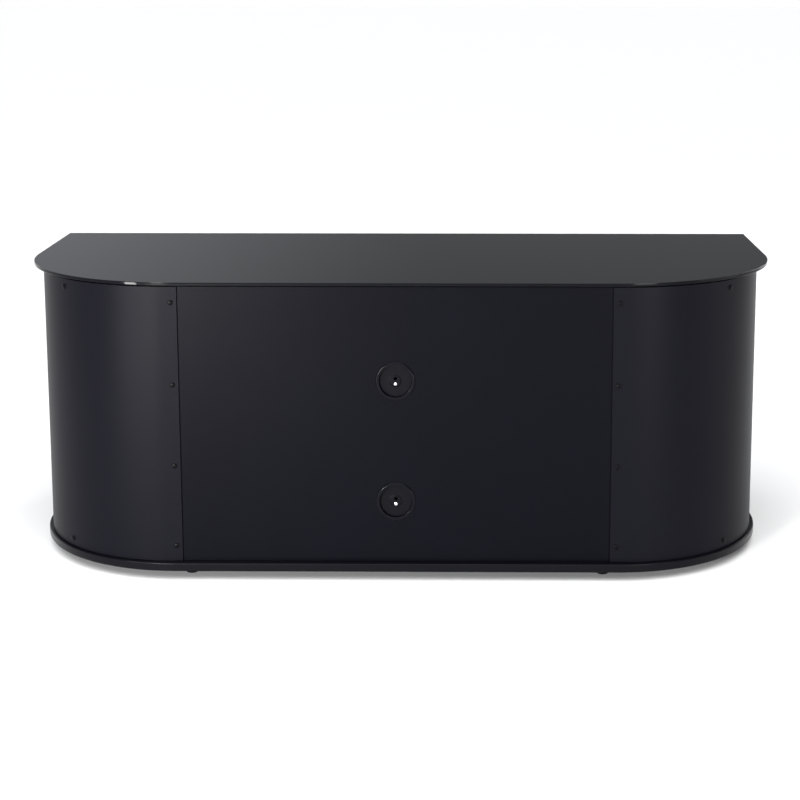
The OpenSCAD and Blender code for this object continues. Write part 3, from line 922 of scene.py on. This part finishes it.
class CABINET_OT_base(Operator):
    """Base board with its eased rim, and the screws and inserts in it"""

    bl_idname = "cabinet.base"
    bl_label = "Base board"

    def execute(self, context):
        sizes, colours = settings(context)
        base = rounded_board("base_board", sizes.base_arris, sizes.curve_steps)
        add_piece(base, "lacquered_base", ["base_board"], shade("base_black", colours))
        carry_over(["base_screws", "foot_inserts"], shade("steel", colours))
        return {"FINISHED"}


class CABINET_OT_boards(Operator):
    """Uprights, floors, roofs, posts and the dowels that join them"""

    bl_idname = "cabinet.boards"
    bl_label = "Boards"

    def execute(self, context):
        sizes, colours = settings(context)
        foil = shade("black_board", colours)
        arris, steps = sizes.board_arris, sizes.curve_steps
        square = ["left_upright", "right_upright", "centre_floor", "centre_roof"]
        for node in square + ["left_front_post", "right_front_post"]:
            board = rounded_board(node, arris, steps, round_corners=False)
            add_piece(board, "eased_" + node, [node], foil)
        for side_name, side in SIDES:
            for level in ("floor", "roof"):
                node = f"{side_name}_end_{level}"
                board = rounded_board(node, arris, steps, sides=(side,))
                add_piece(board, "eased_" + node, [node], foil)
        carry_over(["left_rear_post", "right_rear_post"], foil)
        carry_over(["cross_dowels"], shade("dowel_wood", colours))
        return {"FINISHED"}


class CABINET_OT_shells(Operator):
    """Curved steel shells that wrap the ends and lap over the back panel"""

    bl_idname = "cabinet.shells"
    bl_label = "Curved shells"

    def execute(self, context):
        sizes, colours = settings(context)
        for side_name, side in SIDES:
            node = side_name + "_shell"
            low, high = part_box(node)
            radius = corner_radius(node, side)
            wall = block(low, high)
            outer = high.x if side > 0 else low.x
            corner = upright_edges(wall, at_corner(outer, high.y))
            round_edges(wall, corner, radius, sizes.curve_steps)
            open_faces = [
                f for f in wall.faces
                if abs(f.normal.z) > SQUARE_ON
                or f.normal.y < -SQUARE_ON
                or f.normal.x * side < -SQUARE_ON
            ]
            bmesh.ops.delete(wall, geom=open_faces, context="FACES")
            bmesh.ops.solidify(wall, geom=list(wall.faces), thickness=sizes.shell_gauge)
            round_edges(wall, sharp_edges(wall, SHELL_EDGE_ANGLE), sizes.sheet_arris, SHEET_STEPS)
            add_piece(wall, "bent_" + node, [node], shade("black_sheet", colours))
        return {"FINISHED"}


class CABINET_OT_back(Operator):
    """Back panel between the shells"""

    bl_idname = "cabinet.back"
    bl_label = "Back panel"

    def execute(self, context):
        carry_over(["back_panel"], shade("back_board", context.scene.cabinet_colours))
        return {"FINISHED"}


class CABINET_OT_shell_screws(Operator):
    """Black pan-head screws along the seams, at the corners and along the front edges"""

    bl_idname = "cabinet.shell_screws"
    bl_label = "Shell screws"

    def execute(self, context):
        places = screw_places("shell_screws")
        screw = screw_shape(**SHELL_SCREW, recess=SHELL_SCREW_RECESS, steps=SHELL_SCREW_STEPS)
        screws = set_screws(places, screw)
        black = shade("screw_black", context.scene.cabinet_colours)
        add_piece(screws, "cross_head_screws", ["shell_screws"], black, flat=False)
        return {"FINISHED"}


class CABINET_OT_ports(Operator):
    """Cable ports: moulded ring, dished cap and the screw that holds it"""

    bl_idname = "cabinet.ports"
    bl_label = "Cable ports"

    def execute(self, context):
        colours = context.scene.cabinet_colours
        steps = context.scene.cabinet_sizes.turned_steps
        plastic = shade("black_plastic", colours)
        for level in ("upper", "lower"):
            ring = self.ring_shape(level, steps)
            black = shade("ring_black", colours)
            add_piece(ring, f"moulded_{level}_ring", [level + "_port_ring"], black)
            cap = self.cap_shape(level, steps)
            add_piece(cap, f"dished_{level}_cap", [level + "_port_cap"], plastic)
            bolt = self.bolt_shape(level, steps)
            chrome = shade("screw_chrome", colours)
            add_piece(bolt, f"domed_{level}_screw", [level + "_port_screw"], chrome, flat=False)
        return {"FINISHED"}

    def centre(self, level):
        low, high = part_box(level + "_port_ring")
        return (low.x + high.x) / 2, 0, (low.z + high.z) / 2

    def bolt_height(self, level):
        low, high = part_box(level + "_port_screw")
        return (low.z + high.z) / 2

    def ring_shape(self, level, steps):
        """Rounded flange and barrel, with the bar that the screw goes into."""
        low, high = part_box(level + "_port_ring")
        outer = (high.x - low.x) / 2
        proud = high.y
        inner = RING_BARREL - RING_WALL
        flange = [
            (outer - RING_RISE * (1 - math.cos(a)), proud - RING_RISE * (1 - math.sin(a)))
            for a in arc(0, 91, 10)
        ] + [
            (inner + RING_LIP * (1 + math.cos(a)), proud - RING_LIP * (1 - math.sin(a)))
            for a in arc(90, 181, 18)
        ]
        barrel = [(inner, low.y), (RING_BARREL, low.y), (RING_BARREL, proud - RING_RISE)]
        ring = turned_on_back(flange + barrel + flange[:1], steps, self.centre(level))
        bolt_z = self.bolt_height(level)
        reach = inner + RING_WALL / 4
        bar = block(
            (-reach, low.y, bolt_z - BAR_HALF),
            (reach, low.y + BAR_DEEP, bolt_z + BAR_HALF),
        )
        lower = [v for v in bar.verts if v.co.z < bolt_z]
        bmesh.ops.scale(bar, vec=(BAR_TAPER, 1, 1), verts=lower)
        return joined(ring, bar)

    def cap_shape(self, level, steps):
        """Dished cap with a boss in the middle and a finger hole above it."""
        low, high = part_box(level + "_port_cap")
        centre = self.centre(level)
        edge = (high.x - low.x) / 2
        face = high.y - CAP_BOSS_RISE
        top_from, top_to = CAP_BOSS_TOP
        dish = [
            (0, low.y),
            (edge - CAP_BACK_EASE, low.y),
            (edge, low.y + CAP_BACK_EASE),
            (edge, face - CAP_RIM_EASE),
            (edge - CAP_RIM_EASE, face),
            *[(radius, face + rise) for radius, rise in CAP_BOSS_FOOT],
            (top_from, high.y - CAP_BOSS_EASE),
            (top_to, high.y),
            (0, high.y),
        ]
        cap = turned_on_back(dish, steps, centre)
        finger = bmesh.new()
        bmesh.ops.create_cone(
            finger,
            cap_ends=True,
            segments=FINGER_HOLE_STEPS,
            radius1=FINGER_HOLE,
            radius2=FINGER_HOLE,
            depth=FINGER_HOLE_DEEP,
        )
        lay = Matrix.Rotation(math.pi / 2, 3, "X")
        bmesh.ops.rotate(finger, cent=(0, 0, 0), matrix=lay, verts=finger.verts)
        place = (centre[0], high.y, centre[2] + FINGER_HOLE_UP)
        bmesh.ops.translate(finger, vec=place, verts=finger.verts)
        return bored(cap, finger)

    def bolt_shape(self, level, steps):
        """Domed screw head on its shank."""
        low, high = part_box(level + "_port_screw")
        head = (high.x - low.x) / 2
        rise = BOLT_RISE * head
        seat = high.y - rise
        dome = [(head * math.cos(a), seat + rise * math.sin(a)) for a in arc(0, 91, 9)]
        shank = [(0, low.y), (BOLT_SHANK, low.y), (BOLT_SHANK, seat), (head, seat)]
        centre = (self.centre(level)[0], 0, self.bolt_height(level))
        return turned_on_back(shank + dome[1:-1] + [(0, high.y)], steps, centre)


class CABINET_OT_shelves(Operator):
    """Shelves and the pins that they rest on"""

    bl_idname = "cabinet.shelves"
    bl_label = "Shelves"

    def execute(self, context):
        sizes, colours = settings(context)
        foil = shade("black_board", colours)
        arris, steps = sizes.board_arris, sizes.curve_steps
        shelf = rounded_board("centre_shelf", arris, steps, round_corners=False)
        add_piece(shelf, "eased_centre_shelf", ["centre_shelf"], foil)
        carry_over(["left_end_shelf", "right_end_shelf"], foil)
        carry_over(["shelf_pins"], shade("steel", colours))
        return {"FINISHED"}


class CABINET_OT_flap(Operator):
    """Smoked glass flap with its rail, gasket, handle and catches"""

    bl_idname = "cabinet.flap"
    bl_label = "Drop-down flap"

    def execute(self, context):
        sizes, colours = settings(context)
        low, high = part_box("flap_glass")
        pane = block(low, high)
        round_edges(pane, sharp_edges(pane), sizes.glass_arris, EASE_STEPS)
        add_piece(pane, "smoked_flap_glass", ["flap_glass"], shade("smoked_glass", colours))
        carry_over(["flap_rail", "flap_handle"], shade("rail_metal", colours))
        carry_over(["flap_gasket"], shade("gasket_rubber", colours))
        carry_over(["flap_pins", "flap_strike"], shade("steel", colours))
        carry_over(["flap_bushes", "flap_magnet"], shade("black_plastic", colours))
        return {"FINISHED"}


class CABINET_OT_doors(Operator):
    """End doors with their pivots, knobs and catches"""

    bl_idname = "cabinet.doors"
    bl_label = "End doors"

    def execute(self, context):
        sizes, colours = settings(context)
        for side_name, side in SIDES:
            door = side_name + "_door"
            leaf = self.leaf_shape(door, side, sizes)
            add_piece(leaf, "lacquered_" + door, [door], shade("door_black", colours))
            knob = self.knob_shape(door, sizes.turned_steps)
            metal = shade("rail_metal", colours)
            add_piece(knob, f"turned_{side_name}_knob", [door + "_knob"], metal)
            carry_over([door + "_pins", door + "_strike"], shade("steel", colours))
        carry_over(["door_bushes", "door_magnets"], shade("black_plastic", colours))
        return {"FINISHED"}

    def leaf_shape(self, door, side, sizes):
        """A door with its pivot side rounded."""
        low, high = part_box(door)
        leaf = block(low, high)
        outer = high.x if side > 0 else low.x
        nose = upright_edges(leaf, lambda p: abs(p.x - outer) < SAME_PLACE)
        round_edges(leaf, nose, (high.y - low.y) / 2 - DOOR_NOSE_FLAT, DOOR_NOSE_STEPS)
        round_edges(leaf, sharp_edges(leaf), sizes.door_arris, EASE_STEPS)
        return leaf

    def knob_shape(self, door, steps):
        """A waisted knob whose face is a little hollow, on the pin that holds it."""
        low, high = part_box(door + "_knob")
        radius = (high.x - low.x) / 2
        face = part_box(door)[0].y
        reach = face - low.y
        stem = [
            (0, face - high.y),
            (KNOB_PIN, face - high.y),
            (KNOB_PIN, 0),
            (KNOB_SEAT, 0),
            (KNOB_SEAT, KNOB_SEAT_DEEP),
            (KNOB_NECK, KNOB_NECK_FROM),
            (KNOB_NECK, reach - KNOB_NECK_TO),
            (KNOB_FLARE[0], reach - KNOB_FLARE[1]),
        ]
        rim = [
            (
                radius - KNOB_ROUND + KNOB_ROUND * math.cos(a),
                reach - KNOB_ROUND_AT + KNOB_ROUND * math.sin(a),
            )
            for a in arc(-60, 61, 15)
        ]
        front = [(radius - inset, reach - sink) for inset, sink in KNOB_FACE]
        profile = stem + rim + front + [(0, reach - KNOB_DISH)]
        knob = turned(profile, steps, (0, 0, 0), "-Y")
        place = ((low.x + high.x) / 2, face, (low.z + high.z) / 2)
        bmesh.ops.translate(knob, vec=place, verts=knob.verts)
        return knob


class CABINET_OT_feet(Operator):
    """Levelling feet: moulded pad, hexagonal neck and stud"""

    bl_idname = "cabinet.feet"
    bl_label = "Levelling feet"

    def execute(self, context):
        steps = context.scene.cabinet_sizes.turned_steps
        plastic = shade("black_plastic", context.scene.cabinet_colours)
        for name in FEET:
            node = name + "_foot"
            add_piece(self.foot_shape(node, steps), "moulded_" + node, [node], plastic)
        return {"FINISHED"}

    def foot_shape(self, node, steps):
        low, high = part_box(node)
        x, y = (low.x + high.x) / 2, (low.y + high.y) / 2
        radius = (high.x - low.x) / 2
        side_from, side_to = FOOT_PAD_SIDE
        outline = [
            (0, 0),
            *[(radius - inset, height) for inset, height in FOOT_PAD_FOOT],
            (radius, side_from),
            (radius, side_to),
            *[(radius - inset, height) for inset, height in FOOT_PAD_TOP],
            (0, FOOT_PAD),
        ]
        pad = turned(outline, steps, (x, y, 0))
        neck = bmesh.new()
        bmesh.ops.create_cone(
            neck,
            cap_ends=True,
            segments=6,
            radius1=radius * FOOT_NECK_SHARE,
            radius2=radius * FOOT_NECK_SHARE,
            depth=FOOT_NECK,
        )
        round_edges(neck, neck.edges, FOOT_NECK_EASE, SHEET_STEPS)
        bmesh.ops.translate(neck, vec=(x, y, FOOT_NECK_AT), verts=neck.verts)
        tip_length, tip_radius = STUD_TIP
        rod = [
            (0, STUD_FROM),
            (STUD, STUD_FROM),
            (STUD, high.z - tip_length),
            (tip_radius, high.z),
            (0, high.z),
        ]
        return joined(pad, neck, turned(rod, STUD_STEPS, (x, y, 0)))


# ---- stage ----


class CABINET_OT_stage(Operator):
    """Pale floor, soft lights and the camera"""

    bl_idname = "cabinet.stage"
    bl_label = "Stage"

    def execute(self, context):
        stage, colours = context.scene.cabinet_stage, context.scene.cabinet_colours
        self.lay_floor(colours.floor)
        self.light_room(context.scene, stage)
        self.hang_lights()
        self.stand_camera(context.scene, stage)
        context.scene.view_settings.view_transform = "Standard"
        return {"FINISHED"}

    def lay_floor(self, colour):
        shape = bmesh.new()
        bmesh.ops.create_circle(
            shape, cap_ends=True, segments=FLOOR_STEPS, radius=FLOOR_RADIUS
        )
        mesh = bpy.data.meshes.new("studio_floor")
        shape.to_mesh(mesh)
        shape.free()
        floor = bpy.data.objects.new("studio_floor", mesh)
        bpy.context.scene.collection.objects.link(floor)
        plain = {"roughness": 0.75, "uneven": 0.05, "patch": 2.0, "grain": 300.0}
        mesh.materials.append(finish("pale_floor", colour, **plain, dust=0.0, tone=0.01))

    def light_room(self, scene, stage):
        world = bpy.data.worlds.new("Studio")
        scene.world = world
        world.use_nodes = True
        tree = world.node_tree.nodes
        links = world.node_tree.links
        out = tree["World Output"]
        room = tree["Background"]
        room.inputs["Color"].default_value = ROOM_COLOUR
        links.new(self.brighter_side(tree, links, stage), room.inputs["Strength"])
        seen = tree.new("ShaderNodeBackground")
        seen.inputs["Color"].default_value = BACKDROP_COLOUR
        seen.inputs["Strength"].default_value = stage.backdrop
        ray = tree.new("ShaderNodeLightPath")
        choose = tree.new("ShaderNodeMixShader")
        links.new(ray.outputs["Is Camera Ray"], choose.inputs["Fac"])
        links.new(room.outputs[0], choose.inputs[1])
        links.new(seen.outputs[0], choose.inputs[2])
        links.new(choose.outputs[0], out.inputs["Surface"])

    def brighter_side(self, tree, links, stage):
        """Strength of the room: even, with a soft rise towards the front right."""
        facing = tree.new("ShaderNodeTexCoord")
        split = tree.new("ShaderNodeSeparateXYZ")
        links.new(facing.outputs["Generated"], split.inputs[0])
        rises = []
        for axis, start, end in BRIGHT_SIDE:
            rise = tree.new("ShaderNodeMapRange")
            rise.interpolation_type = "SMOOTHSTEP"
            rise.inputs["From Min"].default_value = start
            rise.inputs["From Max"].default_value = end
            links.new(split.outputs[axis], rise.inputs["Value"])
            rises.append(rise.outputs["Result"])
        both = maths(tree, links, rises[0], rises[1], "MULTIPLY")
        boost = maths(tree, links, both, stage.bright_side, "MULTIPLY")
        return maths(tree, links, boost, stage.surroundings)

    def hang_lights(self):
        sun = bpy.data.lights.new("sky_glow", "SUN")
        sun.energy = SKY_GLOW["energy"]
        sun.angle = math.radians(SKY_GLOW["width"])
        glow = bpy.data.objects.new("sky_glow", sun)
        glow.location = (0, 0, SKY_GLOW["height"])
        glow.rotation_euler = (math.radians(SKY_GLOW["tilt"]), 0, 0)
        bpy.context.scene.collection.objects.link(glow)
        for name, at, aim, wide, tall, watts in SOFTBOXES:
            lamp = bpy.data.lights.new(name, "AREA")
            lamp.shape = "RECTANGLE"
            lamp.size = wide
            lamp.size_y = tall
            lamp.energy = watts
            holder = bpy.data.objects.new(name, lamp)
            holder.location = at
            way = Vector(aim) - Vector(at)
            holder.rotation_euler = way.to_track_quat("-Z", "Y").to_euler()
            holder.visible_camera = False
            bpy.context.scene.collection.objects.link(holder)

    def stand_camera(self, scene, stage):
        eye = bpy.data.cameras.new("Camera")
        eye.sensor_width = SENSOR_WIDTH
        eye.lens = stage.lens
        eye.shift_x, eye.shift_y = stage.shift
        eye.clip_start, eye.clip_end = CLIP
        holder = bpy.data.objects.new("Camera", eye)
        at, aim = Vector(stage.camera_at), Vector(stage.camera_aim)
        look = (aim - at).to_track_quat("-Z", "Y").to_matrix()
        holder.location = at
        holder.rotation_euler = (look @ Matrix.Rotation(stage.roll, 3, "Z")).to_euler()
        scene.collection.objects.link(holder)
        scene.camera = holder


# ---- panel and registration ----

STEPS = (
    CABINET_OT_glass_top,
    CABINET_OT_base,
    CABINET_OT_boards,
    CABINET_OT_shells,
    CABINET_OT_back,
    CABINET_OT_shell_screws,
    CABINET_OT_ports,
    CABINET_OT_shelves,
    CABINET_OT_flap,
    CABINET_OT_doors,
    CABINET_OT_feet,
    CABINET_OT_stage,
)


class CABINET_PT_panel(Panel):
    """Sizes, colours and pieces of the cabinet"""

    bl_idname = "CABINET_PT_panel"
    bl_label = "Media cabinet"
    bl_space_type = "VIEW_3D"
    bl_region_type = "UI"
    bl_category = "Cabinet"

    def draw(self, context):
        layout = self.layout
        scene = context.scene
        for group in (scene.cabinet_sizes, scene.cabinet_colours, scene.cabinet_stage):
            box = layout.box()
            for label in group.__annotations__:
                box.prop(group, label)
        for step in STEPS:
            layout.operator(step.bl_idname)


CLASSES = (CabinetSizes, CabinetColours, CabinetStage, *STEPS, CABINET_PT_panel)


def register():
    for cls in CLASSES:
        bpy.utils.register_class(cls)
    bpy.types.Scene.cabinet_sizes = PointerProperty(type=CabinetSizes)
    bpy.types.Scene.cabinet_colours = PointerProperty(type=CabinetColours)
    bpy.types.Scene.cabinet_stage = PointerProperty(type=CabinetStage)


def unregister():
    del bpy.types.Scene.cabinet_stage
    del bpy.types.Scene.cabinet_colours
    del bpy.types.Scene.cabinet_sizes
    for cls in reversed(CLASSES):
        bpy.utils.unregister_class(cls)


def main():
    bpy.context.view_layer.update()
    register()
    for step in STEPS:
        group, name = step.bl_idname.split(".")
        getattr(getattr(bpy.ops, group), name)()
    bpy.context.view_layer.update()


if __name__ == "__main__":
    main()
